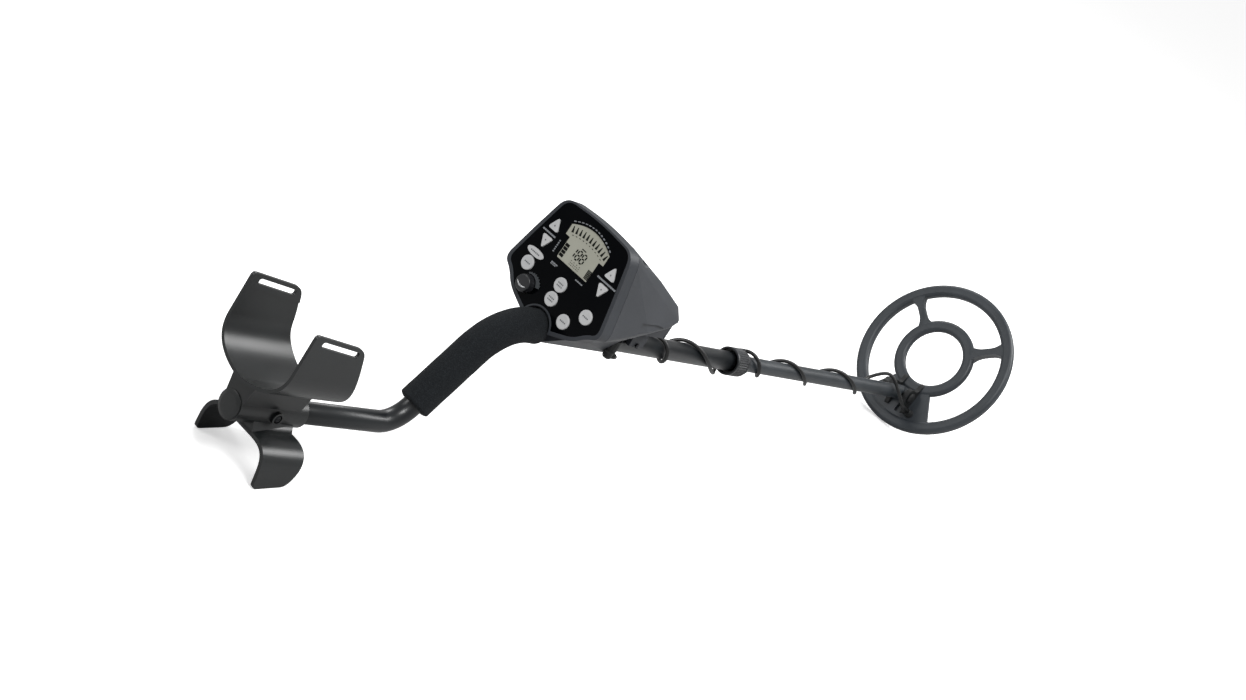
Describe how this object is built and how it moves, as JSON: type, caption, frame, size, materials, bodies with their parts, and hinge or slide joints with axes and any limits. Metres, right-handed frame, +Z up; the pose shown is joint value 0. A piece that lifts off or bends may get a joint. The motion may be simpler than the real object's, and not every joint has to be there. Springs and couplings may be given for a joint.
{
  "type": "metal detector",
  "caption": "Hand-held metal detector: S-shaped rod with foam grip and armrest stand, control housing with display and keys, telescoping lower stem and tilting open-ring coil on a wound cable",
  "frame": {"origin": "bottom centre of the bounding box, on the ground that the stand legs and the coil's rim touch", "axes": "+X forward from the armrest to the coil, +Y to the user's left, +Z up; the detector stands as set down on its two legs and the coil's rim"},
  "size_m": [1.222, 0.2028, 0.2715],
  "materials": {
    "rod_coat": "satin black powder coat on aluminium tube",
    "eva_foam": "speckled dark blue-grey closed-cell foam",
    "armrest_plastic": "satin black moulding",
    "housing_plastic": "dark grey fine-grained moulding",
    "panel_gloss": "glossy near-black printed panel",
    "key_rubber": "light grey moulded keys",
    "lcd_glass": "clear lens over a grey-green display",
    "module": "display module",
    "board": "green circuit board",
    "black_rubber": "black rubber",
    "copper": "enamelled copper wire",
    "steel": "plated steel",
    "stem_plastic": "dark charcoal composite tube",
    "coil_plastic": "dark grey coil moulding",
    "cell": "block battery case",
    "cable_jacket": "black cable jacket"
  },
  "bodies": {
    "main": {"s_rod": "rod_coat", "foam_grip": "eva_foam", "armrest": "armrest_plastic", "armrest_screw": "steel", "armrest_nut": "steel", "sleeve_end_cap": "armrest_plastic", "housing_bezel": "housing_plastic", "housing_shell": "housing_plastic", "face_panel": "panel_gloss", "lcd_window": "lcd_glass", "lcd_module": "module", "main_board": "board", "keypad_mat": "black_rubber", "speaker": "black_rubber", "battery_left": "cell", "battery_right": "cell", "battery_snap_left": "black_rubber", "battery_snap_right": "black_rubber", "sensitivity_pot": "steel", "coil_socket": "black_rubber", "coil_plug": "black_rubber", "headphone_jack": "black_rubber", "rod_saddle": "housing_plastic", "saddle_screw_left": "steel", "saddle_screw_right": "steel", "bezel_screw_1": "steel", "bezel_screw_2": "steel", "bezel_screw_3": "steel", "bezel_screw_4": "steel", "cable_upper": "cable_jacket", "collet": "black_rubber"},
    "stem": {"stem_bush": "black_rubber", "lower_stem": "stem_plastic", "stem_tongue": "stem_plastic", "cable_lower": "cable_jacket", "cable_tail": "cable_jacket"},
    "coil": {"coil_top_shell": "coil_plastic", "coil_bottom_shell": "coil_plastic", "transmit_winding": "copper", "receive_winding": "copper", "pivot_bolt": "black_rubber", "washer_left": "black_rubber", "washer_right": "black_rubber", "cable_gland": "black_rubber"},
    "coil_nut": {"pivot_nut": "black_rubber"},
    "collar": {"lock_collar": "housing_plastic"},
    "knob": {"sensitivity_knob": "black_rubber"},
    "door_left": {"battery_door_left": "housing_plastic"},
    "door_right": {"battery_door_right": "housing_plastic"},
    "key_up_left_body": {"key_up_left": "key_rubber"},
    "key_up_right_body": {"key_up_right": "key_rubber"},
    "key_down_left_body": {"key_down_left": "key_rubber"},
    "key_down_right_body": {"key_down_right": "key_rubber"},
    "key_oval_body": {"key_oval": "key_rubber"},
    "key_menu_body": {"key_menu": "key_rubber"},
    "key_upper_body": {"key_upper": "key_rubber"},
    "key_lower_body": {"key_lower": "key_rubber"},
    "key_left_body": {"key_left": "key_rubber"},
    "key_right_body": {"key_right": "key_rubber"}
  },
  "joints": [
    {"name": "stem_slide", "type": "slide", "parent": "main", "child": "stem", "axis": [0.9914, 0, -0.1312], "range_m": [-0.2, 0], "deforming": ["cable_lower"]},
    {"name": "coil_tilt", "type": "hinge", "parent": "stem", "child": "coil", "pos_m": [0.51352, -0.00578, 0.04591], "axis": [0.0148, -0.9936, 0.1122], "range_deg": [-62, 28], "deforming": ["cable_tail"]},
    {"name": "nut_turn", "type": "hinge", "parent": "coil", "child": "coil_nut", "pos_m": [0.51352, -0.00578, 0.04591], "axis": [-0.0148, 0.9936, -0.1122], "continuous": true},
    {"name": "collar_turn", "type": "hinge", "parent": "main", "child": "collar", "pos_m": [0.10954, -0.00578, 0.09937], "axis": [0.9914, 0, -0.1312], "range_deg": [0, 90]},
    {"name": "sensitivity_turn", "type": "hinge", "parent": "main", "child": "knob", "pos_m": [-0.2463, 0.02732, 0.17507], "axis": [0.9831, 0, -0.1829], "range_deg": [-150, 150]},
    {"name": "battery_door_left_hinge", "type": "hinge", "parent": "main", "child": "door_left", "pos_m": [-0.07188, 0.00932, 0.15081], "axis": [0, 1, 0], "range_deg": [0, 95]},
    {"name": "battery_door_right_hinge", "type": "hinge", "parent": "main", "child": "door_right", "pos_m": [-0.07188, -0.02088, 0.15081], "axis": [0, 1, 0], "range_deg": [0, 95]},
    {"name": "key_up_left_press", "type": "slide", "parent": "main", "child": "key_up_left_body", "axis": [0.9831, 0, -0.1829], "range_m": [0, 0.0008], "stiffness_N_per_m": 1500, "springref_m": -0.0003},
    {"name": "key_up_right_press", "type": "slide", "parent": "main", "child": "key_up_right_body", "axis": [0.9831, 0, -0.1829], "range_m": [0, 0.0008], "stiffness_N_per_m": 1500, "springref_m": -0.0003},
    {"name": "key_down_left_press", "type": "slide", "parent": "main", "child": "key_down_left_body", "axis": [0.9831, 0, -0.1829], "range_m": [0, 0.0008], "stiffness_N_per_m": 1500, "springref_m": -0.0003},
    {"name": "key_down_right_press", "type": "slide", "parent": "main", "child": "key_down_right_body", "axis": [0.9831, 0, -0.1829], "range_m": [0, 0.0008], "stiffness_N_per_m": 1500, "springref_m": -0.0003},
    {"name": "key_oval_press", "type": "slide", "parent": "main", "child": "key_oval_body", "axis": [0.9831, 0, -0.1829], "range_m": [0, 0.0008], "stiffness_N_per_m": 1500, "springref_m": -0.0003},
    {"name": "key_menu_press", "type": "slide", "parent": "main", "child": "key_menu_body", "axis": [0.9831, 0, -0.1829], "range_m": [0, 0.0008], "stiffness_N_per_m": 1500, "springref_m": -0.0003},
    {"name": "key_upper_press", "type": "slide", "parent": "main", "child": "key_upper_body", "axis": [0.9831, 0, -0.1829], "range_m": [0, 0.0008], "stiffness_N_per_m": 1500, "springref_m": -0.0003},
    {"name": "key_lower_press", "type": "slide", "parent": "main", "child": "key_lower_body", "axis": [0.9831, 0, -0.1829], "range_m": [0, 0.0008], "stiffness_N_per_m": 1500, "springref_m": -0.0003},
    {"name": "key_left_press", "type": "slide", "parent": "main", "child": "key_left_body", "axis": [0.9831, 0, -0.1829], "range_m": [0, 0.0008], "stiffness_N_per_m": 1500, "springref_m": -0.0003},
    {"name": "key_right_press", "type": "slide", "parent": "main", "child": "key_right_body", "axis": [0.9831, 0, -0.1829], "range_m": [0, 0.0008], "stiffness_N_per_m": 1500, "springref_m": -0.0003}
  ]
}
